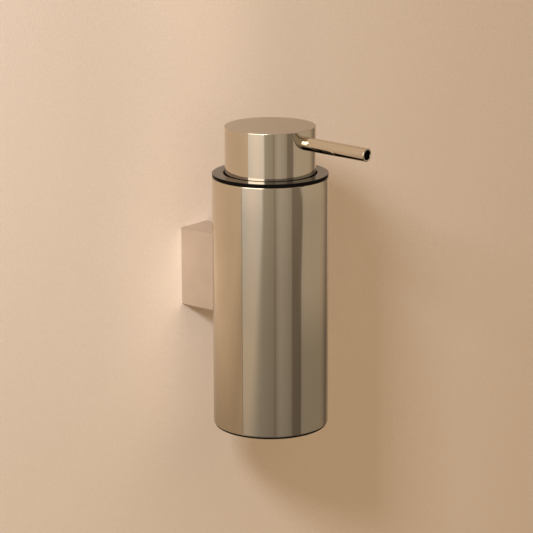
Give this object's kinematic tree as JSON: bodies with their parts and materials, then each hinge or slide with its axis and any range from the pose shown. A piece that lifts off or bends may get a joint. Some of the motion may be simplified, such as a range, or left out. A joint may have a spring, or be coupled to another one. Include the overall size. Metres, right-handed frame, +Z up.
{
  "type": "wall mounted soap dispenser",
  "caption": "Slim round polished metal soap dispenser on a square wall bracket, with a press-down pump head, a thin spout that slopes slightly down and a lift-out bottle.",
  "frame": {"origin": "centre of the bracket's back face, in the plane of the wall", "axes": "+Z up along the sleeve, +Y into the wall, -Y out into the room, the way the spout points, +X to the right along the wall seen from the room"},
  "size_m": [0.058, 0.1106, 0.1534],
  "materials": {
    "polished_nickel": "mirror-polished warm nickel plate",
    "satin_nickel": "satin warm nickel plate",
    "zinc_steel": "zinc-plated steel",
    "spring_steel": "bright drawn stainless steel",
    "black_plastic": "glossy black moulding",
    "black_rubber": "soft matt black seal",
    "natural_plastic": "translucent natural polyethylene",
    "white_plastic": "fine-textured white polypropylene"
  },
  "bodies": {
    "holder": {"wall_plate": "zinc_steel", "bracket": "satin_nickel", "bracket_grub_screw": "zinc_steel", "sleeve_studs": "zinc_steel", "stud_washers": "zinc_steel", "stud_nuts": "zinc_steel", "outer_sleeve": "polished_nickel", "base_cap": "black_plastic"},
    "refill": {"inner_bottle": "natural_plastic", "top_ring": "black_plastic", "collar_insert": "black_plastic", "collar_seal": "black_rubber", "closure_nut": "white_plastic", "neck_seal": "black_rubber", "pump_housing": "white_plastic", "housing_cap": "white_plastic", "dip_tube": "natural_plastic", "return_spring": "spring_steel"},
    "plunger": {"piston": "white_plastic"},
    "head": {"pump_stem": "white_plastic", "head_cap": "polished_nickel", "head_core": "white_plastic", "spout_tube": "polished_nickel", "spout_liner": "black_plastic", "spout_seal": "black_rubber"},
    "inlet_valve": {"inlet_ball": "spring_steel"},
    "outlet_valve": {"outlet_ball": "spring_steel"}
  },
  "joints": [
    {"name": "refill_lift", "type": "slide", "parent": "holder", "child": "refill", "axis": [0, 0, 1], "range_m": [0, 0.135]},
    {"name": "pump_press", "type": "slide", "parent": "refill", "child": "plunger", "axis": [0, 0, 1], "range_m": [-0.01, 0], "stiffness_N_per_m": 300, "springref_m": 0.02, "deforming": ["return_spring"]},
    {"name": "head_swivel", "type": "hinge", "parent": "plunger", "child": "head", "pos_m": [0, -0.0505, 0.05], "axis": [0, 0, 1], "range_deg": [-140, 140]},
    {"name": "inlet_valve_lift", "type": "slide", "parent": "refill", "child": "inlet_valve", "axis": [0, 0, 1], "range_m": [0, 0.0015]},
    {"name": "outlet_valve_lift", "type": "slide", "parent": "head", "child": "outlet_valve", "axis": [0, 0, 1], "range_m": [0, 0.0015]}
  ]
}
